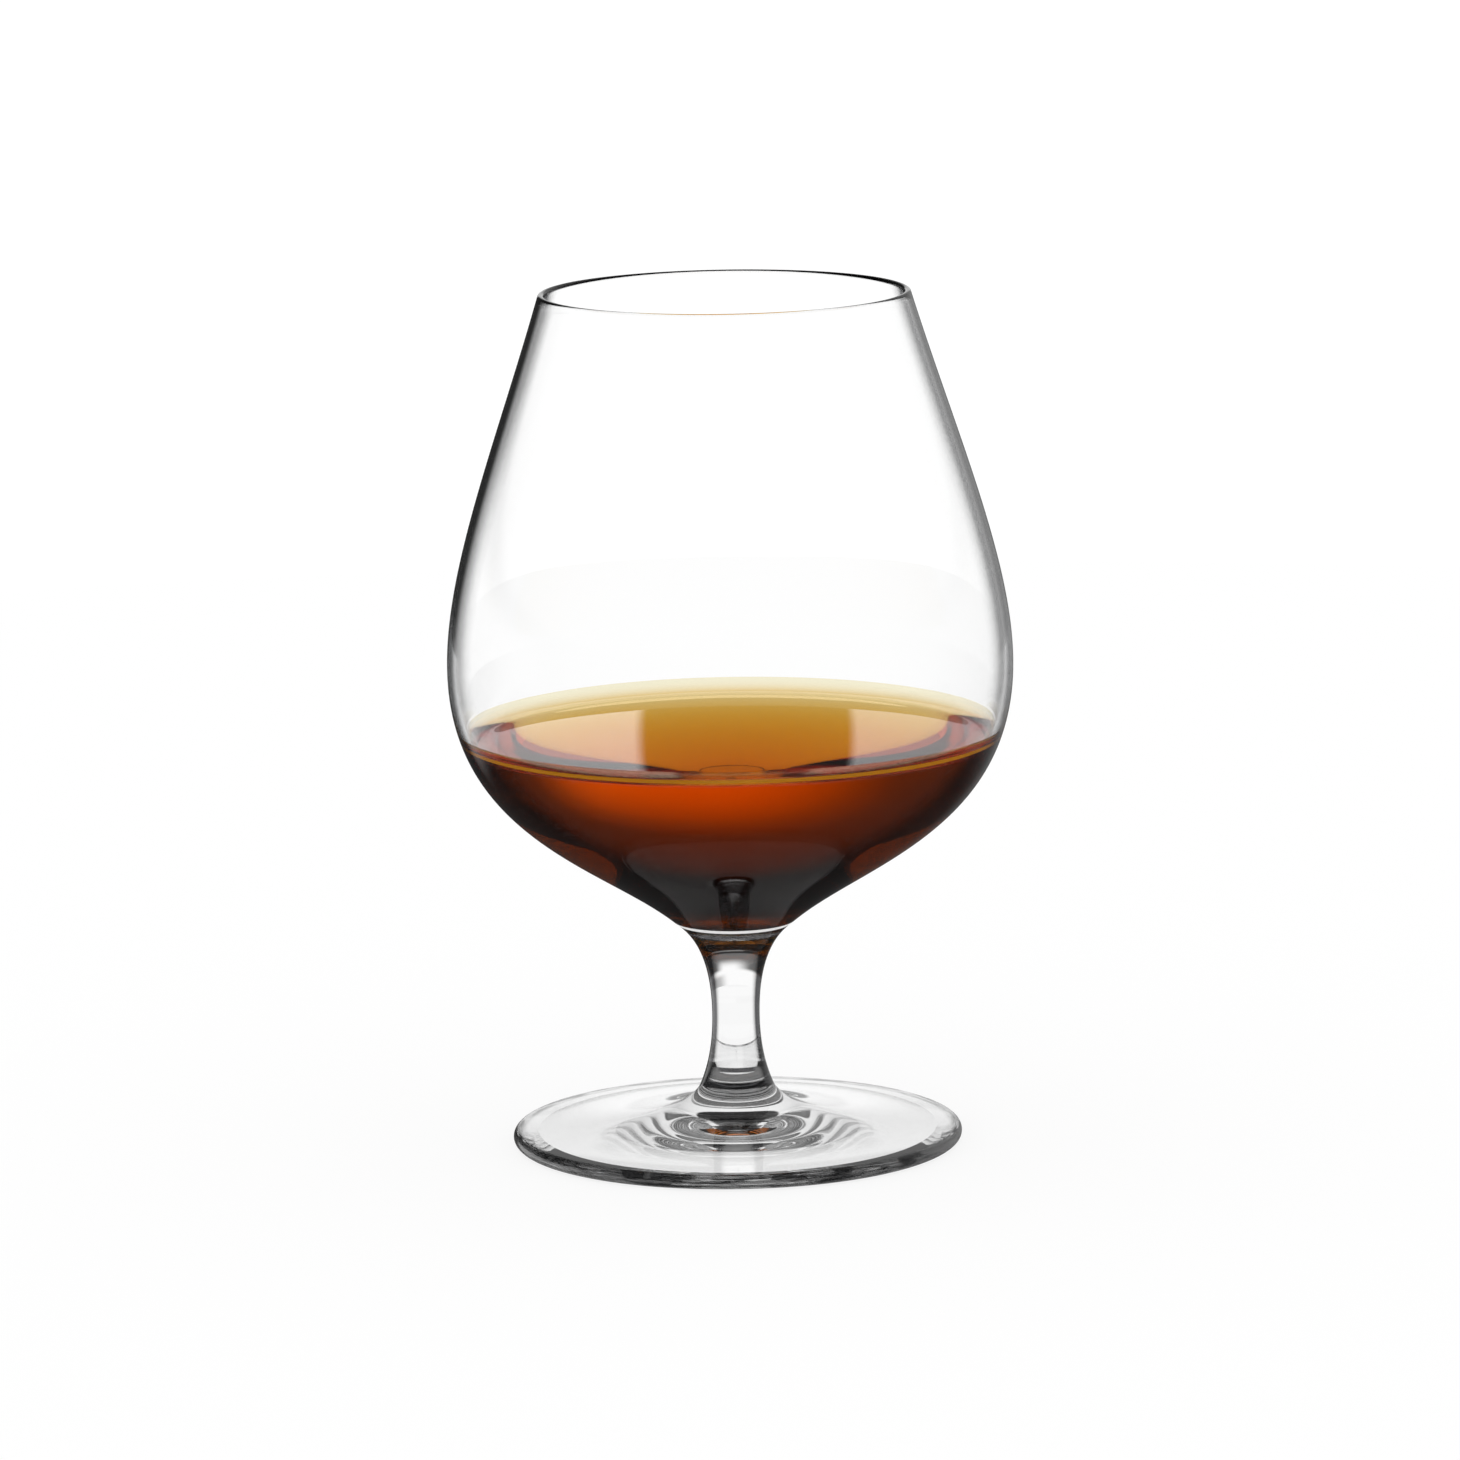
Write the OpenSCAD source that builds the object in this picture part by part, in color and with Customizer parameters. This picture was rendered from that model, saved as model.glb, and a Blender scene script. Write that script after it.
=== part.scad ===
// Brandy snifter: a blown bowl, a solid stem and a disc foot, fused to each other hot,
// with a measure of brandy in the bowl. Every piece is turned about the Z axis.
// Millimetres. The origin is on the table under the middle of the foot.
// A profile is a list of [radius, height] points, and a curve is four such points.

/* [Bowl] */
// Height of the rim above the table
rim_z = 137; // [130:0.5:145]
// Diameter of the rim, outside
rim_d = 59; // [52:0.5:66]
// Inward lean of the wall at the rim, radius per height
rim_lean = 0.3; // [0.15:0.05:0.45]
// Diameter of the bowl at its widest ring, outside
belly_d = 90; // [84:0.5:96]
// Height of the widest ring above the table
belly_z = 77.5; // [74:0.5:81]
// How far the wall keeps to the upright above the widest ring
belly_pull_up = 16.2; // [12:0.1:22]
// How far the wall keeps to the upright below the widest ring
belly_pull_down = 26; // [20:0.1:30]
// How far the wall holds the lean of the rim
rim_pull = 23; // [16:0.5:28]
// Wall thickness at the rim
rim_wall = 1.1; // [0.8:0.1:1.6]
// Wall thickness at the widest ring
belly_wall = 1.3; // [1:0.1:2]
// Wall thickness at the seam to the stem
seam_wall = 2.2; // [1.5:0.1:3]
// Thickness of the glass on the axis, under the brandy
base_wall = 3; // [2:0.1:4.5]

/* [Stem] */
// Diameter of the seam where the stem spreads under the bowl
seam_d = 19.6; // [17:0.2:22]
// Height of that seam above the table
seam_z = 36; // [33:0.5:39]
// Slope of the wall at the seam, radius per height
seam_slope = 1.2; // [1:0.05:1.4]
// How far the bowl holds that slope above the seam
seam_pull_up = 16.2; // [10:0.1:20]
// How far the stem holds that slope below the seam
seam_pull_down = 2; // [1:0.1:4]
// Diameter of the waist, the thinnest place of the stem
waist_d = 7.6; // [6.4:0.2:9]
// Height of the waist above the table
waist_z = 20.5; // [18:0.5:23]
// How far the stem keeps to the upright above the waist
waist_pull_up = 11.6; // [8:0.1:13]
// How far the stem keeps to the upright below the waist
waist_pull_down = 4.5; // [3:0.1:7]
// Diameter of the heel, where the stem is fused to the foot
heel_d = 11.7; // [10.5:0.1:13]
// Height of that seam above the table
heel_z = 9.2; // [8.4:0.1:10]
// Spread of the stem at the heel, radius per height
heel_slope = 0.42; // [0.3:0.02:0.6]
// How far the stem holds that spread above the heel
heel_pull_up = 3.5; // [2:0.1:5]
// How far the foot holds that spread below the heel
heel_pull_down = 4.5; // [3:0.1:5.5]

/* [Foot] */
// Diameter of the foot
foot_d = 72; // [64:0.5:80]
// Thickness of its rounded edge
edge_h = 2.4; // [1.8:0.1:3.2]
// Rise of the foot's top inside the edge, in degrees
foot_rise = 4; // [2:0.5:6]
// How far inwards the top holds that rise
foot_pull = 18; // [12:0.5:22]
// Width of the flat ring that the glass stands on
rest_w = 3; // [2:0.5:6]
// Depth of the hollow under the foot, on the axis
hollow_h = 1.4; // [0.8:0.1:2]

/* [Brandy] */
// Level of the brandy above the table
fill_z = 65.5; // [50:0.5:72]
// Height that the brandy climbs at the wall
climb_h = 2.4; // [0.6:0.1:2.6]
// Width of the ring over which it climbs
climb_w = 7; // [3:0.2:8]

/* [Hidden] */
$fn = 180;

rim_r = rim_d / 2;
belly_r = belly_d / 2;
seam_r = seam_d / 2;
waist_r = waist_d / 2;
heel_r = heel_d / 2;
edge_r = edge_h / 2;
// Radius of the circle on which the middle of the foot's rounded edge lies
edge_ring_r = foot_d / 2 - edge_r;
rest_r = edge_ring_r - rest_w;

// Points on each curve of a wall, on the cap under the bowl, on each rounded edge and on the climb
wall_n = 28;
cap_n = 8;
edge_n = 8;
climb_n = 10;

// Unit vector, and the vector turned a quarter turn to the left
function unit(v) = v / norm(v);
function left(v) = [-v.y, v.x];
// A polar point about the centre c
function polar(c, r, a) = c + r * [cos(a), sin(a)];
// A number that starts and ends level as it goes from a to b
function ease(a, b, t) = a + (b - a) * t * t * (3 - 2 * t);
// Fractions from 0 to 1
function steps(n) = [for (i = [0 : n]) i / n];
// A list without its first point
function tail(list) = [for (i = [1 : len(list) - 1]) list[i]];
// The same list from its end to its start
function reversed(list) = [for (i = [len(list) - 1 : -1 : 0]) list[i]];

// The point of a cubic curve at t, and the unit direction in which the curve runs there
function on_curve(c, t) =
    pow(1 - t, 3) * c[0] + 3 * pow(1 - t, 2) * t * c[1]
    + 3 * (1 - t) * t * t * c[2] + pow(t, 3) * c[3];
function heading(c, t) =
    unit(pow(1 - t, 2) * (c[1] - c[0]) + 2 * (1 - t) * t * (c[2] - c[1]) + t * t * (c[3] - c[2]));
function trace(c, n) = [for (t = steps(n)) on_curve(c, t)];

// The places where the curves meet, and the directions upwards there
rim_up = unit([-rim_lean, 1]);
seam_up = unit([seam_slope, 1]);
heel_up = unit([-heel_slope, 1]);
up = [0, 1];
belly = [belly_r, belly_z];
seam = [seam_r, seam_z];
waist = [waist_r, waist_z];
heel = [heel_r, heel_z];
// The rounded lip stands a little above the end of the wall
rim = [rim_r, rim_z - rim_wall / 2 * (1 + left(rim_up).y)];

lower_wall = [seam, seam + seam_pull_up * seam_up, belly - belly_pull_down * up, belly];
upper_wall = [belly, belly + belly_pull_up * up, rim - rim_pull * rim_up, rim];

// The bowl's own base is a round cap that carries the slope at the seam on to the axis
cap_a = atan(1 / seam_slope);
cap_r = seam_r / sin(cap_a);
cap_c = [0, seam_z + cap_r * cos(cap_a)];
outer_cap = [for (t = steps(cap_n)) polar(cap_c, cap_r, -90 + t * cap_a)];

// The inner wall is the outer wall moved inwards by the thickness of the glass there
function inner(c, t, wall_0, wall_1) = on_curve(c, t) + ease(wall_0, wall_1, t) * left(heading(c, t));
function inner_trace(c, wall_0, wall_1) = [for (t = steps(wall_n)) inner(c, t, wall_0, wall_1)];
inner_cap = [
    for (t = steps(cap_n)) polar(cap_c, cap_r - ease(base_wall, seam_wall, t), -90 + t * cap_a)
];
inner_lower = inner_trace(lower_wall, seam_wall, belly_wall);
inner_upper = inner_trace(upper_wall, belly_wall, rim_wall);
wet_side = concat(inner_cap, tail(inner_lower));

// The brandy's surface is level in the middle and climbs ever steeper to the contact ring
contact_z = fill_z + climb_h;
contact_r = lookup(contact_z, [for (p = wet_side) [p.y, p.x]]);
function meniscus(t) = [contact_r - climb_w * t, fill_z + climb_h * pow(1 - t, 6)];

module turned(profile) {
    rotate_extrude()
        polygon(profile);
}

// Blown glass: one thin wall from the rounded base to the fire-polished lip
module bowl() {
    outside = concat(outer_cap, tail(trace(lower_wall, wall_n)), tail(trace(upper_wall, wall_n)));
    lip_c = rim + rim_wall / 2 * left(rim_up);
    lip_a = atan2(-left(rim_up).y, -left(rim_up).x);
    lip = [for (i = [1 : edge_n - 1]) polar(lip_c, rim_wall / 2, lip_a + 180 * i / edge_n)];
    inside = concat(wet_side, tail(inner_upper));
    color([0.90, 0.94, 0.95, 0.35])
        turned(concat(outside, lip, reversed(inside)));
}

// Drawn solid glass: a waist between the heel and a cup that takes the bowl's base
module stem() {
    lower_side = [heel, heel + heel_pull_up * heel_up, waist - waist_pull_down * up, waist];
    upper_side = [waist, waist + waist_pull_up * up, seam - seam_pull_down * seam_up, seam];
    side = concat(trace(lower_side, wall_n), tail(trace(upper_side, wall_n)));
    color([0.86, 0.90, 0.92, 0.45])
        turned(concat([[0, heel_z]], side, tail(reversed(outer_cap))));
}

// Pressed disc of glass: a boss under the stem, a rounded edge and a hollow underside
module foot() {
    hollow = [for (t = steps(edge_n)) [rest_r * t, hollow_h * (1 - t * t)]];
    edge_c = [edge_ring_r, edge_r];
    edge = [for (t = steps(edge_n)) polar(edge_c, edge_r, -90 + (180 - foot_rise) * t)];
    edge_end = edge[edge_n];
    inwards = [-cos(foot_rise), sin(foot_rise)];
    top = [edge_end, edge_end + foot_pull * inwards, heel - heel_pull_down * heel_up, heel];
    color([0.86, 0.90, 0.92, 0.45])
        turned(concat(hollow, edge, tail(trace(top, wall_n)), [[0, heel_z]]));
}

// The brandy fills the bowl to its level and takes the shape of the wall that it wets
module brandy() {
    wetted = [for (p = wet_side) if (p.y < contact_z) p];
    climb = [for (t = steps(climb_n)) meniscus(t * t)];
    color([0.48, 0.17, 0.03, 0.85])
        turned(concat(wetted, climb, [[0, fill_z]]));
}

bowl();
stem();
foot();
brandy();
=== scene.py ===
import math

import bpy
import numpy as np
from mathutils import Matrix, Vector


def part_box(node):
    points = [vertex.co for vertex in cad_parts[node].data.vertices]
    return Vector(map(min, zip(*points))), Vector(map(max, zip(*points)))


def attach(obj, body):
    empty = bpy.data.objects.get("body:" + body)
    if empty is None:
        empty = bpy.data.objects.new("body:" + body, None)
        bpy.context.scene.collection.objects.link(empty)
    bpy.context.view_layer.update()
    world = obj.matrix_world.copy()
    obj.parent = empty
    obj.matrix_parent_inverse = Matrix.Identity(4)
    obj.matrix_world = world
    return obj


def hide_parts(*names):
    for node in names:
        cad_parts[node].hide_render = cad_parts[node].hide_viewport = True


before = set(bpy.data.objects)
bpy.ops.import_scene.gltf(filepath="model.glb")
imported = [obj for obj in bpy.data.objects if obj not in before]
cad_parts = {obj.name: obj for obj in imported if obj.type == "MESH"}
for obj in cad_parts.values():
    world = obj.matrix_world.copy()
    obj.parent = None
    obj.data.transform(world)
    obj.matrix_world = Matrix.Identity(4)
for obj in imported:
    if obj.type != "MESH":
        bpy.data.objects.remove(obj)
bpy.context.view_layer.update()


# Bowl
# Clear glass, blown: one thin wall, thickest at its rounded base, that swells to the belly and is
# drawn in to a lip rounded in the flame. Its base is fused hot into the cup at the stem's top.

MM = 0.001


def unit(vector):
    """The vector at length 1."""
    return np.array(vector, float) / np.hypot(*vector)


def left(vectors):
    """Each vector turned a quarter turn to the left, which is inwards where a wall runs upwards."""
    return np.stack([-vectors[..., 1], vectors[..., 0]], axis=-1)


def cubic(start, pull_start, pull_end, end, count):
    """Points and unit directions along a cubic curve: the start and the end, each with the
    vector that pulls the curve along there, blended by Bernstein weights of t from 0 to 1."""
    t = np.linspace(0, 1, count)[:, None]
    corners = np.array([start, start + pull_start, end + pull_end, end])
    weights = np.hstack([(1 - t) ** 3, 3 * (1 - t) ** 2 * t, 3 * (1 - t) * t ** 2, t ** 3])
    slopes = np.hstack([(1 - t) ** 2, 2 * (1 - t) * t, t ** 2]) @ np.diff(corners, axis=0)
    return weights @ corners, slopes / np.linalg.norm(slopes, axis=1)[:, None]


def arc(centre, radius, first, last, count):
    """Points on a circle about the centre, from the first to the last angle in degrees."""
    angle = np.radians(np.linspace(first, last, count))[:, None]
    return np.asarray(centre) + np.hstack([radius * np.cos(angle), radius * np.sin(angle)])


def eased(first, last, count):
    """Numbers from first to last whose change starts and ends level, as 3 t^2 - 2 t^3."""
    t = np.linspace(0, 1, count)[:, None]
    return first + (last - first) * t * t * (3 - 2 * t)


def turned(name, profile, finishes, finish_of_band, creases=(), turns=240):
    """Closed surface of revolution: every [radius, height] point of a profile that starts and
    ends on the axis is carried round Z in equal turns, and each end is one point on the axis.
    finish_of_band numbers the finish of the band after each point, and creases lists the points
    whose rings are sharp."""
    rows = len(profile) - 2
    angle = np.linspace(0, 2 * np.pi, turns, endpoint=False)
    radius = profile[1:-1, :1]
    height = profile[1:-1, 1:]
    rings = np.stack([radius * np.cos(angle), radius * np.sin(angle), height + 0 * angle], axis=-1)
    ends = np.zeros((2, 3))
    ends[:, 2] = profile[[0, -1], 1]
    points = np.vstack([ends[:1], rings.reshape(-1, 3), ends[1:]])
    number = 1 + np.arange(rows * turns).reshape(rows, turns)
    after = np.roll(number, -1, axis=1)
    bands = np.stack([number[:-1], after[:-1], after[1:], number[1:]], axis=-1).reshape(-1, 4)
    first_fan = np.stack([np.zeros(turns, int), after[0], number[0]], axis=-1)
    last_fan = np.stack([number[-1], after[-1], np.full(turns, len(points) - 1)], axis=-1)
    corners = np.concatenate([first_fan.ravel(), bands.ravel(), last_fan.ravel()])
    sizes = np.concatenate([np.full(turns, 3), np.full(len(bands), 4), np.full(turns, 3)])
    starts = np.concatenate([[0], np.cumsum(sizes)[:-1]])
    mesh = bpy.data.meshes.new(name)
    mesh.vertices.add(len(points))
    mesh.vertices.foreach_set("co", points.astype(np.float32).ravel())
    mesh.loops.add(len(corners))
    mesh.loops.foreach_set("vertex_index", corners.astype(np.int32))
    mesh.polygons.add(len(sizes))
    mesh.polygons.foreach_set("loop_start", starts.astype(np.int32))
    mesh.polygons.foreach_set("material_index", np.repeat(finish_of_band, turns).astype(np.int32))
    mesh.update(calc_edges=True)
    mesh.shade_smooth()
    pairs = np.empty(2 * len(mesh.edges), np.int32)
    mesh.edges.foreach_get("vertices", pairs)
    row = (pairs.reshape(-1, 2) - 1) // turns
    sharp = (row[:, 0] == row[:, 1]) & np.isin(row[:, 0], np.array(creases) - 1)
    mesh.edges.foreach_set("use_edge_sharp", sharp)
    mesh.validate()
    for finish in finishes:
        mesh.materials.append(finish)
    piece = bpy.data.objects.new(name, mesh)
    bpy.context.scene.collection.objects.link(piece)
    return piece


class Wire:
    """An output socket. Arithmetic on wires and numbers adds the Math nodes that work it out."""

    def __init__(self, nodes, socket):
        self.nodes = nodes
        self.socket = socket

    def math(self, operation, *values):
        """One Math node of that operation on the values."""
        return self.nodes.add("ShaderNodeMath", {"operation": operation}, dict(enumerate(values)))

    def __add__(self, other):
        return self.math("ADD", self, other)

    def __radd__(self, other):
        return self.math("ADD", other, self)

    def __sub__(self, other):
        return self.math("SUBTRACT", self, other)

    def __rsub__(self, other):
        return self.math("SUBTRACT", other, self)

    def __mul__(self, other):
        return self.math("MULTIPLY", self, other)

    def __rmul__(self, other):
        return self.math("MULTIPLY", other, self)

    def __truediv__(self, other):
        return self.math("DIVIDE", self, other)

    def __rtruediv__(self, other):
        return self.math("DIVIDE", other, self)

    def __abs__(self):
        return self.math("ABSOLUTE", self)

    def step(self, low, high):
        """0 up to low, 1 from high, and a smooth rise between them."""
        return self.nodes.add(
            "ShaderNodeMapRange", {"interpolation_type": "SMOOTHSTEP"},
            {"Value": self, "From Min": low, "From Max": high})

    def fall(self, low, high):
        """1 up to low, 0 from high, and a smooth fall between them."""
        return 1 - self.step(low, high)

    def parts(self):
        """The three numbers of a vector."""
        return [self.nodes.add("ShaderNodeSeparateXYZ", {}, {"Vector": self}, axis) for axis in "XYZ"]


class Nodes:
    """A node tree, emptied at first."""

    def __init__(self, tree):
        self.tree = tree
        tree.nodes.clear()

    def add(self, kind, settings={}, sockets={}, output=0):
        """Any node: its settings first, then its sockets, each a value or a wire."""
        made = self.tree.nodes.new(kind)
        for name, value in settings.items():
            setattr(made, name, value)
        for name, value in sockets.items():
            if isinstance(value, Wire):
                self.tree.links.new(value.socket, made.inputs[name])
            else:
                made.inputs[name].default_value = value
        return Wire(self, made.outputs[output]) if len(made.outputs) else made

    def blend(self, share, colour, other):
        """From one colour to the other as the share goes from 0 to 1."""
        return self.add("ShaderNodeMix", {"data_type": "RGBA"}, {0: share, 6: colour, 7: other}, 2)


def new_finish(name):
    """A material with an empty node tree, and the tree."""
    material = bpy.data.materials.new(name)
    material.use_nodes = True
    return material, Nodes(material.node_tree)


glass_ior = 1.52
clear = (0.998, 0.999, 0.999, 1)
wave_scale = 70.0
wave_height = 0.006 * MM


def clear_glass(name, shade_of, edge, mirror):
    """Clear polished glass that set with a slight wave. Its colour goes from clear to the edge
    colour, a painted shade for the dark edges of the glass, by the share that shade_of works out
    from its nodes, the place on the piece, and the slant of the view, which is 1 less the cosine
    of its angle to the surface. mirror scales what it reflects straight back."""
    material, nodes = new_finish(name)
    place = nodes.add("ShaderNodeTexCoord", output="Object")
    slant = nodes.add("ShaderNodeLayerWeight", {}, {"Blend": 0.5}, "Facing")
    # Painted shade: the colour darkens towards the edge colour near the outline
    tint = nodes.blend(shade_of(nodes, place, slant), clear, edge)
    wave = nodes.add("ShaderNodeTexNoise", {}, {"Vector": place, "Scale": wave_scale, "Detail": 1.0})
    normal = nodes.add("ShaderNodeBump", {}, {"Height": wave, "Distance": wave_height, "Strength": 1.0})
    glass = nodes.add("ShaderNodeBsdfPrincipled", {}, {
        "Base Color": tint, "Roughness": 0.0, "IOR": glass_ior, "Transmission Weight": 1.0,
        "Specular Tint": (mirror, mirror, mirror, 1), "Normal": normal})
    nodes.add("ShaderNodeOutputMaterial", {}, {"Surface": glass})
    return material


def dry_shade(nodes, place, slant):
    """Painted shade: the bowl's colour darkens near its outline, where the view meets the thin
    wall at a slant.
    """
    return slant.step(0.64, 0.84)


def filled_shade(nodes, place, slant):
    """Painted shade: under the brandy the wall's colour darkens further in."""
    return slant.step(0.28, 0.66)


def wet_shade(nodes, place, slant):
    """The inner face under the brandy stays clear."""
    return slant.step(0.98, 1.0)


bowl_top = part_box("bowl")[1]
stem_low, stem_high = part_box("stem")
brandy_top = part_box("brandy")[1]
belly_z = 77.5 * MM
belly_pull_up = 16.2 * MM
belly_pull_down = 26.0 * MM
seam_slope = 1.2
seam_pull_up = 16.2 * MM
rim_r = 29.5 * MM
rim_lean = 0.3
rim_pull = 23.0 * MM
rim_wall = 1.1 * MM
belly_wall = 1.3 * MM
seam_wall = 2.2 * MM
base_wall = 3.0 * MM
wall_rings = 60
outer_cap_rings = 16
inner_cap_rings = 20
lip_rings = 13

up = np.array([0.0, 1.0])
seam_up = unit([seam_slope, 1])
rim_up = unit([-rim_lean, 1])
belly = np.array([bowl_top[0], belly_z])
seam = np.array([stem_high[0], stem_high[2]])
# The rounded lip stands a little above the end of the wall
rim = np.array([rim_r, bowl_top[2] - rim_wall / 2 * (1 + left(rim_up)[1])])
lower, lower_run = cubic(seam, seam_pull_up * seam_up, -belly_pull_down * up, belly, wall_rings)
upper, upper_run = cubic(belly, belly_pull_up * up, -rim_pull * rim_up, rim, wall_rings)
# The base is a round cap that carries the slope at the seam on to the axis
cap_angle = math.atan2(seam_up[1], seam_up[0])
cap_r = seam[0] / math.sin(cap_angle)
cap_centre = (0, seam[1] + cap_r * math.cos(cap_angle))
cap_end = -90 + math.degrees(cap_angle)
outer_cap = arc(cap_centre, cap_r, -90, cap_end, outer_cap_rings)
inner_cap_r = cap_r - eased(base_wall, seam_wall, inner_cap_rings)
inner_cap = arc(cap_centre, inner_cap_r, -90, cap_end, inner_cap_rings)
inner_lower = lower + eased(seam_wall, belly_wall, wall_rings) * left(lower_run)
inner_upper = upper + eased(belly_wall, rim_wall, wall_rings) * left(upper_run)
outward = -left(rim_up)
lip_start = math.degrees(math.atan2(outward[1], outward[0]))
lip = arc(rim - rim_wall / 2 * outward, rim_wall / 2, lip_start, lip_start + 180, lip_rings)[1:-1]
wall_inside = np.vstack([inner_cap, inner_lower[1:], inner_upper[1:]])
bowl_profile = np.vstack([outer_cap, lower[1:], upper[1:], lip, wall_inside[::-1]])
bowl_profile[[0, -1], 0] = 0

# The brandy parts the wall into a filled and a dry stretch: at its level outside, and inside at the
# ring where it touches the wall
contact_z = brandy_top[2]
climb_h = 2.4 * MM
fill_z = contact_z - climb_h
dry, filled, wetted, fused = range(4)
band = np.arange(len(bowl_profile) - 1)
band_z = (bowl_profile[1:, 1] + bowl_profile[:-1, 1]) / 2
on_inside = band >= len(bowl_profile) - len(wall_inside)
bowl_bands = np.full(len(band), dry)
bowl_bands[(band_z < fill_z) & ~on_inside] = filled
bowl_bands[(band_z < contact_z) & on_inside] = wetted
bowl_bands[:outer_cap_rings - 1] = fused

# Painted shade: the near-black colours that the bowl takes on towards its outline
dry_edge_painted_shade = (0.03, 0.031, 0.032, 1)
filled_edge_painted_shade = (0.015, 0.013, 0.012, 1)
thin_wall_mirror = 0.05
no_mirror = 0.0
blown_glass = clear_glass("blown_glass", dry_shade, dry_edge_painted_shade, thin_wall_mirror)
filled_glass = clear_glass("filled_glass", filled_shade, filled_edge_painted_shade, thin_wall_mirror)
# Where brandy wets it, the wall's inner face mirrors nothing
wet_glass = clear_glass("wet_glass", wet_shade, clear, no_mirror)
# Fused pieces are one melt, so light goes straight on through the faces at their seam
fused_seam, nodes = new_finish("fused_seam")
nodes.add("ShaderNodeOutputMaterial", {}, {"Surface": nodes.add("ShaderNodeBsdfTransparent")})
bowl_finishes = [blown_glass, filled_glass, wet_glass, fused_seam]
bowl = turned("snifter_bowl", bowl_profile, bowl_finishes, bowl_bands)
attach(bowl, "root")
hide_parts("bowl")


# Stem
# Solid clear glass, drawn out of the same melt: it spreads at its top into a cup that takes the
# bowl's base, narrows to a waist and spreads again to the heel, where the foot is fused on.

waist = np.array([3.8, 20.5]) * MM
waist_pull_up = 11.6 * MM
waist_pull_down = 4.5 * MM
seam_pull_down = 2.0 * MM
heel = np.array([5.85 * MM, stem_low[2]])
heel_slope = 0.42
heel_pull_up = 3.5 * MM
lower_side_rings = 50
upper_side_rings = 70
stem_turns = 160
heel_up = unit([-heel_slope, 1])
lower_side = cubic(heel, heel_pull_up * heel_up, -waist_pull_down * up, waist, lower_side_rings)[0]
upper_side = cubic(waist, waist_pull_up * up, -seam_pull_down * seam_up, seam, upper_side_rings)[0]
stem_profile = np.vstack([[[0, heel[1]]], lower_side, upper_side[1:], outer_cap[::-1][1:]])
stem_profile[-1, 0] = 0

weld_w = 0.55 * MM
glass_face, seam_face, weld_highlight_face = range(3)
stem_z = (stem_profile[1:, 1] + stem_profile[:-1, 1]) / 2
stem_bands = np.full(len(stem_z), glass_face)
stem_bands[stem_z > seam[1] - weld_w] = weld_highlight_face
stem_bands[0] = seam_face
stem_bands[1 - outer_cap_rings:] = seam_face

# Painted shade: a dark ring just above the heel
heel_ring_start = (0.0, 0.2 * MM)
heel_ring_end = (1.0 * MM, 1.2 * MM)


def drawn_shade(nodes, place, slant):
    """Painted shade: the solid stem's colour is dark along its sides, and in a ring where it
    spreads to the heel.
    """
    height = place.parts()[2]
    above_heel = height - heel[1]
    ring = above_heel.step(*heel_ring_start) * above_heel.fall(*heel_ring_end)
    return 1 - slant.fall(0.25, 0.45) * (1 - ring)


# Painted shade: the near black of the stem's sides and heel ring
drawn_edge_painted_shade = (0.01, 0.01, 0.011, 1)
thick_glass_mirror = 1.0
drawn_glass = clear_glass("drawn_glass", drawn_shade, drawn_edge_painted_shade, thick_glass_mirror)
# Painted highlight: the weld to the bowl is a frosted white line round the stem's top, which
# stands in for the light the seam catches, and it is clear from within
highlight_grey = (0.90, 0.90, 0.90, 1)
highlight_white = (1.0, 1.0, 1.0, 1)
speck_scale = 400.0
weld_highlight_line, nodes = new_finish("weld_highlight_line")
place = nodes.add("ShaderNodeTexCoord", output="Object")
speck = nodes.add("ShaderNodeTexNoise", {}, {"Vector": place, "Scale": speck_scale, "Detail": 2.0})
white = nodes.blend(speck, highlight_grey, highlight_white)
frosted_highlight = nodes.add("ShaderNodeBsdfPrincipled", {}, {
    "Base Color": white, "Roughness": 1.0, "Specular IOR Level": 0.0})
within = nodes.add("ShaderNodeBsdfPrincipled", {}, {
    "Base Color": clear, "Roughness": 0.0, "IOR": glass_ior, "Transmission Weight": 1.0})
from_within = nodes.add("ShaderNodeNewGeometry", output="Backfacing")
nodes.add("ShaderNodeOutputMaterial", {}, {
    "Surface": nodes.add("ShaderNodeMixShader", {}, {0: from_within, 1: frosted_highlight, 2: within})})
stem_creases = (1, len(stem_profile) - outer_cap_rings)
stem_finishes = [drawn_glass, fused_seam, weld_highlight_line]
stem = turned("snifter_stem", stem_profile, stem_finishes, stem_bands, stem_creases, stem_turns)
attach(stem, "root")
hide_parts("stem")


# Foot
# Clear glass, pressed hot into a disc: a boss under the stem, a top that falls to a rounded edge,
# and a shallow hollow below, so that it stands on a flat ring near its edge.

foot_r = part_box("foot")[1][0]
edge_r = 1.2 * MM
edge_ring_r = foot_r - edge_r
rest_w = 3.0 * MM
rest_r = edge_ring_r - rest_w
hollow_h = 1.4 * MM
rise = 4.0
foot_pull = 18.0 * MM
heel_pull_down = 4.5 * MM
hollow_rings = 40
edge_rings = 25
top_rings = 80
from_axis = np.linspace(0, 1, hollow_rings)[:, None]
hollow = np.hstack([rest_r * from_axis, hollow_h * (1 - from_axis ** 2)])
edge = arc((edge_ring_r, edge_r), edge_r, -90, 90 - rise, edge_rings)
inwards = np.array([-math.cos(math.radians(rise)), math.sin(math.radians(rise))])
top = cubic(edge[-1], foot_pull * inwards, -heel_pull_down * heel_up, heel, top_rings)[0]
foot_profile = np.vstack([hollow, edge, top[1:], [[0, heel[1]]]])
foot_bands = np.full(len(foot_profile) - 1, glass_face)
foot_bands[-1] = seam_face

streaks_round = 6.0
streaks_across = 1500.0


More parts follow.
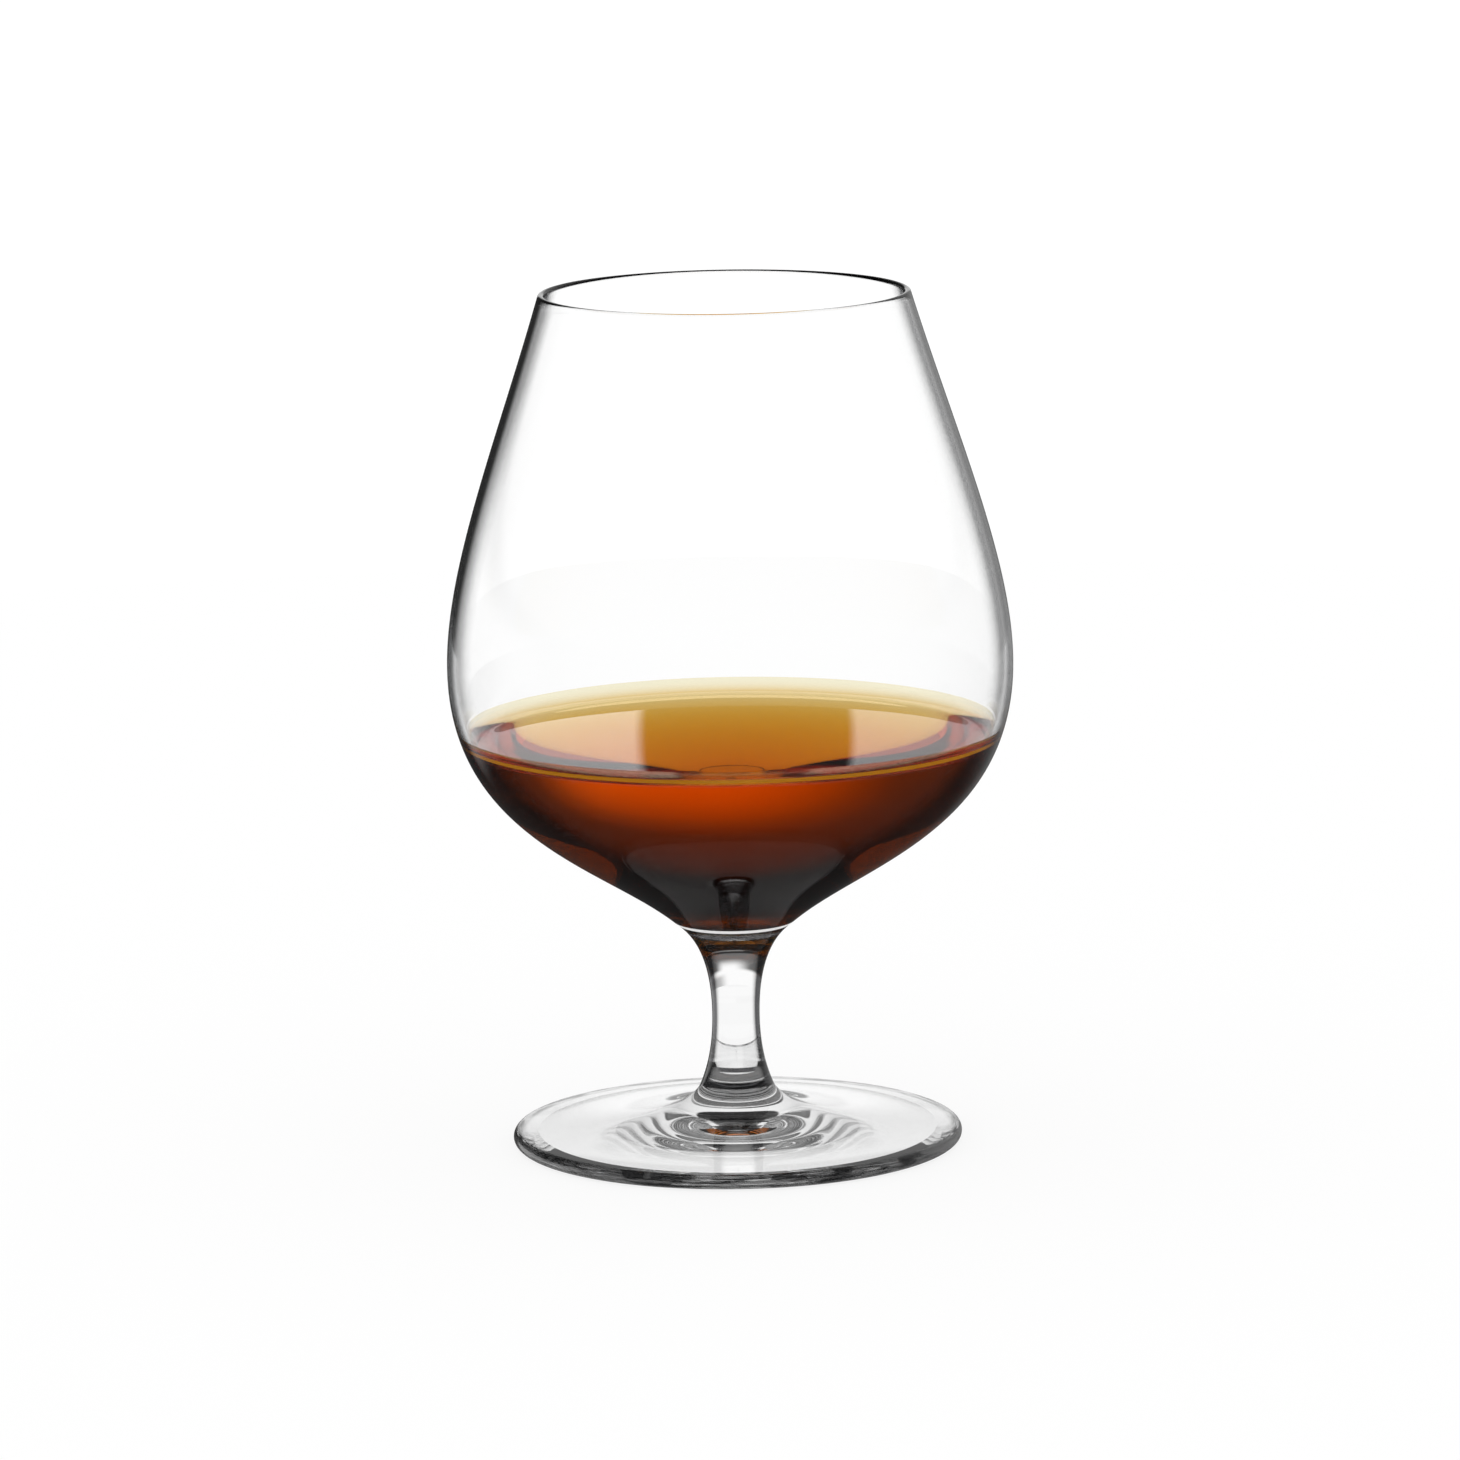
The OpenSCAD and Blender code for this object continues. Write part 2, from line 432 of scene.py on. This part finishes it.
def pressed_shade(nodes, place, slant):
    """Painted shade: the rounded edge's colour is streaked dark round the disc, except where it
    is seen at a slant. The streaks are noise on a ring: its direction from the axis, and its
    radius and height at scale."""
    x, y, z = place.parts()
    radius = x.math("SQRT", x * x + y * y)
    round_edge = radius.step(foot_r - 2.6 * MM, foot_r - 1.0 * MM) * slant.fall(0.45, 0.80)
    ring = nodes.add("ShaderNodeCombineXYZ", {}, {
        "X": x / radius * streaks_round, "Y": y / radius * streaks_round,
        "Z": (radius + z) * streaks_across})
    streak = nodes.add("ShaderNodeTexNoise", {}, {"Vector": ring, "Scale": 1.0, "Detail": 3.0})
    return round_edge * (0.5 + 0.5 * streak.step(0.40, 0.60))


# Painted shade: the near black of the streaks on the foot's edge
pressed_edge_painted_shade = (0.02, 0.02, 0.021, 1)
pressed_glass = clear_glass("pressed_glass", pressed_shade, pressed_edge_painted_shade, thick_glass_mirror)
foot_creases = (len(hollow) - 1, len(foot_profile) - 2)
foot = turned("snifter_foot", foot_profile, [pressed_glass, fused_seam], foot_bands, foot_creases)
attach(foot, "root")
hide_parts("foot")


# Brandy
# Amber spirit, poured in to just below the belly. It wets the glass, so its surface climbs a
# little in a ring at the wall, and it deepens from gold to red as the light goes further through.

climb_w = 7.0 * MM
climb_power = 6
climb_rings = 36
# The side lies a hair deep in the glass of the wall, so that glass and brandy share no face
soak = 0.05 * MM
wet = wall_inside[wall_inside[:, 1] < belly_z]
wet_run = np.gradient(wet, axis=0)
side = wet - soak * left(wet_run / np.linalg.norm(wet_run, axis=1)[:, None])
contact_r = np.interp(contact_z, side[:, 1], side[:, 0])
side = side[side[:, 1] < contact_z]
from_wall = np.linspace(0, 1, climb_rings)[:, None] ** 2
climb_z = fill_z + climb_h * (1 - from_wall) ** climb_power
climb = np.hstack([contact_r - climb_w * from_wall, climb_z])
brandy_profile = np.vstack([side, climb, [[0, fill_z]]])
brandy_profile[0, 0] = 0

brandy_ior = 1.362
amber = (0.78, 0.52, 0.18, 1)
straw = (0.93, 0.88, 0.68, 1)
highlight_gold = (1.0, 0.40, 0.03, 1)
yellow = (0.945, 0.745, 0.0, 1)
yellow_depth = 150.0
spirit, nodes = new_finish("brandy")
place = nodes.add("ShaderNodeTexCoord", output="Object")
x, y, height = place.parts()
radius = x.math("SQRT", x * x + y * y)
thin_film = radius.step(contact_r - 2.2 * MM, contact_r - 0.1 * MM)
below_surface = height.fall(fill_z - 0.3 * MM, fill_z - 0.1 * MM)
on_top = nodes.add("ShaderNodeBsdfPrincipled", {}, {
    "Base Color": nodes.blend(thin_film, amber, straw), "Roughness": 0.0, "IOR": brandy_ior,
    "Transmission Weight": 1.0})
at_wall = nodes.add("ShaderNodeBsdfPrincipled", {}, {
    "Base Color": (1, 1, 1, 1), "Roughness": 0.0, "IOR": brandy_ior, "Transmission Weight": 1.0,
    "Specular Tint": (0, 0, 0, 1)})
still = nodes.add("ShaderNodeMixShader", {}, {0: below_surface, 1: on_top, 2: at_wall})
# Painted highlight: where the film at the wall thins out upwards, a matt gold line seen from
# outside stands in for the light that it catches
over_level = height - fill_z
line = over_level.step(0.1 * MM, 0.3 * MM) * over_level.fall(1.0 * MM, 1.2 * MM)
at_side = radius.step(contact_r - 0.7 * MM, contact_r - 0.6 * MM)
from_outside = 1 - nodes.add("ShaderNodeNewGeometry", output="Backfacing")
# Painted highlight: a matt gold band on the brandy's side, from outside only
gold = nodes.add("ShaderNodeBsdfDiffuse", {}, {"Color": highlight_gold})
highlight_share = 0.95 * line * at_side * from_outside
surface = nodes.add("ShaderNodeMixShader", {}, {0: highlight_share, 1: still, 2: gold})
depth = nodes.add("ShaderNodeVolumeAbsorption", {}, {"Color": yellow, "Density": yellow_depth})
nodes.add("ShaderNodeOutputMaterial", {}, {"Surface": surface, "Volume": depth})
brandy_bands = np.zeros(len(brandy_profile) - 1, int)
brandy = turned("poured_brandy", brandy_profile, [spirit], brandy_bands, (len(side),))
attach(brandy, "root")
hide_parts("brandy")


# Table and light
# A round white table top in a white studio, which lights matt things evenly from all sides. What
# shows in and through the glass is white low down and dim above, with two panels that the brandy's
# surface mirrors, a white card on the left, and darker walls that give the glass its edges.

table_r = 0.60
table_z = -0.2 * MM
table_sides = 128
angle = np.linspace(0, 2 * np.pi, table_sides, endpoint=False)
table_round = [table_r * np.cos(angle), table_r * np.sin(angle), 0 * angle + table_z]
table_points = np.stack(table_round, axis=-1)
table_mesh = bpy.data.meshes.new("table_top")
table_mesh.from_pydata(table_points.tolist(), [], [list(range(table_sides))])
table = bpy.data.objects.new("table_top", table_mesh)
bpy.context.scene.collection.objects.link(table)
# The outside of the glass mirrors the studio only
table.visible_glossy = False

# Ranges of the number of faces that light has crossed, past which it has come through the glass,
# into the brandy, right through the brandy, and more than once round in it
past_glass = (2.5, 3.5)
into_brandy = (3.2, 3.8)
past_brandy = (4.5, 5.5)
round_brandy = (6.5, 7.5)


def way_of_light(nodes):
    """1 where the light was mirrored on its way here and 0 where it was not, and the number of
    faces that it has crossed."""
    mirrors = nodes.add("ShaderNodeLightPath", output="Glossy Depth")
    crossed = nodes.add("ShaderNodeLightPath", output="Transmission Depth")
    return mirrors.math("MINIMUM", mirrors, 1.0), crossed


def between(first, last, share):
    """From the first number to the last as the share goes from 0 to 1."""
    return first + share * (last - first)


table_white = (0.95, 0.95, 0.95, 1)
# Painted shade: the dark that the table's colour turns to within the glass
table_painted_shade = (0.05, 0.05, 0.05, 1)
glow_by_glass = 0.85
glow_rise = (0.20, 0.55)
long_way_loss = 0.6
near_edge = (60.0 * MM, 70.0 * MM)
near_glow_loss = 0.88
near_painted_shade_loss = 0.6
white_table, nodes = new_finish("white_table")
x, y, z = nodes.add("ShaderNodeTexCoord", output="Object").parts()
radius = x.math("SQRT", x * x + y * y)
to_camera = nodes.add("ShaderNodeLightPath", output="Is Camera Ray")
seen_through = nodes.add("ShaderNodeLightPath", output="Is Transmission Ray")
mirrored, crossed = way_of_light(nodes)
# The table glows white, less so by the glass, where it keeps the shadow. Within the glass its
# glow and colour are darkened as painted shade after a long way round in the brandy, and its
# near part after one mirror
kept = 1 - long_way_loss * mirrored * crossed.step(*round_brandy)
near_part = mirrored * crossed.fall(*past_glass) * y.fall(*near_edge)
glow_round = between(glow_by_glass, 1.0, radius.step(*glow_rise))
glow = to_camera * glow_round + seen_through * kept * (1 - near_glow_loss * near_part)
# Painted shade: the table's colour goes dark for light that reaches it within the glass
table_painted_shade_share = 1 - kept * (1 - near_painted_shade_loss * near_part)
matt = nodes.add("ShaderNodeBsdfPrincipled", {}, {
    "Base Color": nodes.blend(table_painted_shade_share, table_white, table_painted_shade), "Roughness": 1.0,
    "Specular IOR Level": 0.0})
white = nodes.add("ShaderNodeEmission", {}, {"Color": (1, 1, 1, 1), "Strength": 1.0})
nodes.add("ShaderNodeOutputMaterial", {}, {
    "Surface": nodes.add("ShaderNodeMixShader", {}, {0: glow, 1: matt, 2: white})})
table_mesh.materials.append(white_table)

# In the studio x is to the right, y ahead and z upwards, each a part of a direction of length 1,
# and turn is the angle to the right of straight ahead, in radians
studio = bpy.data.worlds.new("studio")
bpy.context.scene.world = studio
studio.use_nodes = True
studio.cycles.sampling_method = "NONE"
nodes = Nodes(studio.node_tree)
x, y, z = nodes.add("ShaderNodeTexCoord", output="Generated").parts()
turn = x.math("ARCTAN2", x, y)
mirrored, crossed = way_of_light(nodes)

# Straight through the glass: a white backdrop under a dim ceiling, lower to both sides of straight
# ahead, and on the right a grey wall near the table
plain = 1.06
ceiling_dark = 0.02
ceiling_dim = 0.16
grey_loss = 0.50
low = z.fall(0.08, 0.13)
tall_backdrop = turn.step(-0.42, 0.05) * turn.fall(0.25, 0.55) + abs(turn).step(1.2, 1.5)
backdrop = z.fall(0.12, 0.30) * between(tall_backdrop, 1.0, low)
ceiling = between(ceiling_dark, ceiling_dim, z.fall(0.42, 0.50))
grey_wall = turn.step(0.15, 0.50) * turn.fall(0.9, 1.3) * z.fall(0.02, 0.08)
straight = between(ceiling, plain, backdrop) * (1 - grey_loss * grey_wall)

# Mirrored by the brandy's surface: two panels with a dark gap between them straight ahead, of which
# the right one is less bright until it turns to the back
dark = 0.03
bright = 0.92
less_bright = 0.72
left_panel = bright * turn.fall(-0.0225, -0.0185)
right_panel = between(less_bright, bright, turn.step(1.0, 3.0)) * turn.step(0.027, 0.031)
panel_top = z.fall(0.50, 0.72) * (1 - crossed.step(*round_brandy) * z.step(0.34, 0.44))
panels = (dark + left_panel + right_panel) * panel_top
on_brandy = between(panels, straight, low)

# Mirrored within the glass: bright up to a dark top, and dark low down, but for a white card on the
# left and a wall that gets lighter to the right
edge_dark = 0.05
card_white = 0.85
below_level = z.fall(0.01, 0.10)
card_sides = turn.fall(-0.62, -0.42) * turn.step(-1.9, -1.5)
left_card = card_white * card_sides * z.step(-0.45, -0.25) * below_level
wall_start = between(0.20, 0.35, below_level) * turn.step(-0.05, 0.05)
wall_end = between(0.25, 0.55, below_level) * turn.step(0.35, 0.70)
edges = edge_dark + left_card + wall_start + wall_end
in_glass = between(dark + bright * z.fall(0.33, 0.38), edges, low)

# Light that was mirrored on its way through the brandy has lost most of its strength, except
# straight ahead, where the gap between the panels is
brandy_loss = 0.84
clear_of_gap = between(abs(turn).step(0.10, 0.20) * z.fall(0.24, 0.32), 1.0, low)
in_brandy = mirrored * crossed.step(*past_brandy) * crossed.fall(*round_brandy)
in_mirror = between(in_glass, on_brandy, crossed.step(*into_brandy))
behind = between(straight, in_mirror, mirrored) * (1 - brandy_loss * in_brandy * clear_of_gap)

# Mirrored by the outside of the glass: a white panel ahead, dimmer at its top, and dark walls, with
# a lighter one on the right and the card on the left
panel_white = 0.95
panel_fade = 0.50
wall_dark = 0.04
wall_light = 0.41
panel_ahead = abs(x).fall(0.12, 0.22) * y.step(0.75, 0.9) * z.step(-0.06, -0.02)
panel_ahead = panel_ahead * (panel_white - panel_fade * z.step(0.10, 0.25))
light_wall = x.step(0.0, 0.3) * y.step(0.1, 0.6) * z.step(-0.5, 0.0)
walls = wall_dark + wall_light * light_wall + left_card
beside = between(walls, 1.0, panel_ahead)

# What is seen through glass, what its outside mirrors, and plain white for all the rest
through = nodes.add("ShaderNodeLightPath", output="Is Transmission Ray")
glossy = nodes.add("ShaderNodeLightPath", output="Is Glossy Ray")
strength = plain + through * (behind - plain) + (glossy - through) * (beside - plain)
nodes.add("ShaderNodeOutputWorld", {}, {
    "Surface": nodes.add("ShaderNodeBackground", {}, {"Color": (1, 1, 1, 1), "Strength": strength})})


# Camera
# A long lens 1.2 m in front of the glass and 15 cm above its rim, which looks down at the belly by
# ten degrees and leans by one.

photo_px = 1460
focal_px = 7862
camera_at = (-0.0002, -1.2325, 0.2867)
look_down = math.radians(10.12)
lean = math.radians(-0.95)
camera_data = bpy.data.cameras.new("camera")
camera_data.sensor_width = 36.0
camera_data.lens = camera_data.sensor_width * focal_px / photo_px
camera_data.clip_start = 0.05
camera_data.clip_end = 50.0
camera = bpy.data.objects.new("camera", camera_data)
bpy.context.scene.collection.objects.link(camera)
tilt = Matrix.Rotation(math.pi / 2 - look_down, 4, "X") @ Matrix.Rotation(lean, 4, "Z")
camera.matrix_world = Matrix.Translation(camera_at) @ tilt
bpy.context.scene.camera = camera
bpy.context.scene.view_settings.view_transform = "Standard"
# Light crosses many faces of glass and brandy on its way
bpy.context.scene.cycles.max_bounces = 32
bpy.context.scene.cycles.transmission_bounces = 32
bpy.context.scene.cycles.glossy_bounces = 16
bpy.context.scene.cycles.transparent_max_bounces = 32
